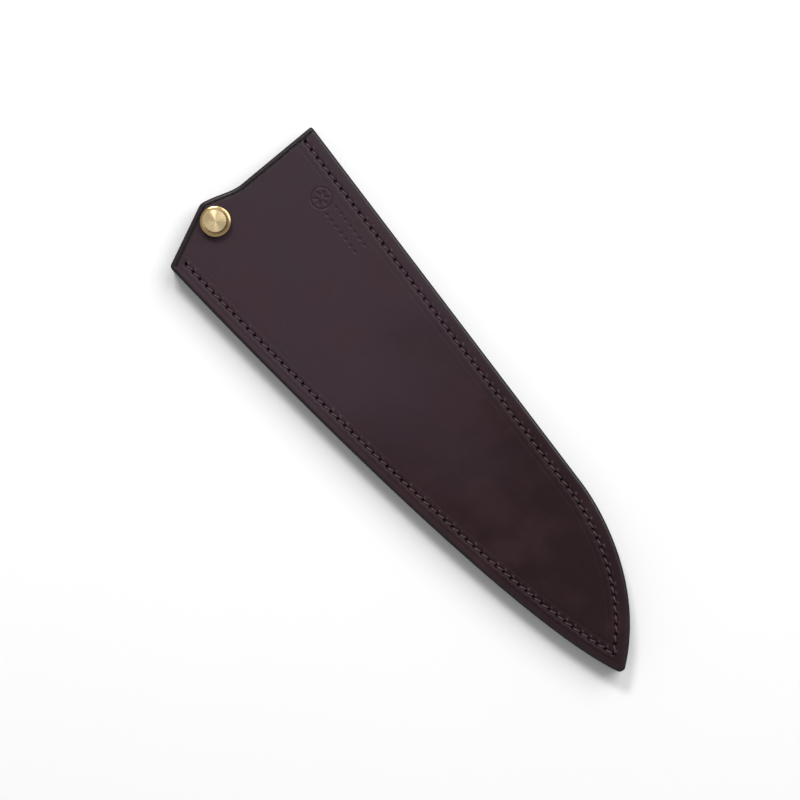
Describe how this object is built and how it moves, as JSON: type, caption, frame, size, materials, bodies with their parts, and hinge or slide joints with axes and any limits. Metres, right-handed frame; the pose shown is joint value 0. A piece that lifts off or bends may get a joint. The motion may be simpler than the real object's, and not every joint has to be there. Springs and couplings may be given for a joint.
{
  "type": "knife sheath",
  "caption": "Stitched leather sheath for a wide kitchen blade, with a waved mouth and a brass thumbscrew that locks the blade in.",
  "frame": {"origin": "on the back face, under the middle of the outline's box", "axes": "+X from the mouth to the tip along the spine edge, +Y to the spine edge, +Z out of the front leather, along the thumbscrew"},
  "size_m": [0.2324, 0.0732, 0.0146],
  "materials": {
    "front_leather": "waxed, semi-matte, dark aubergine brown",
    "back_leather": "waxed, semi-matte, dark aubergine brown",
    "welt_leather": "burnished edge, near black brown",
    "thread": "waxed twisted thread, aubergine brown",
    "brass": "turned, satin",
    "turned_brass": "face-turned flat top with fine concentric tool marks",
    "black_washer": "matt black"
  },
  "bodies": {
    "sheath": {"front_panel": "front_leather", "back_panel": "back_leather", "spine_welt": "welt_leather", "edge_welt": "welt_leather", "saddle_thread": "thread", "front_bush": "brass", "front_clinch_ring": "brass", "back_socket": "brass", "back_clinch_ring": "brass"},
    "washer": {"pin_washer": "black_washer"},
    "thumbscrew": {"retaining_pin": "turned_brass"}
  },
  "joints": [
    {"name": "pin_lift", "type": "slide", "parent": "sheath", "child": "washer", "axis": [0, 0, 1], "range_m": [0, 0.006]},
    {"name": "pin_turn", "type": "hinge", "parent": "washer", "child": "thumbscrew", "pos_m": [-0.10735, -0.01295, 0.0072], "axis": [0, 0, 1], "range_deg": [0, 2700]}
  ],
  "couplings": [
    {"joint": "pin_turn", "follows": "pin_lift", "rad_per_m": 7854}
  ]
}
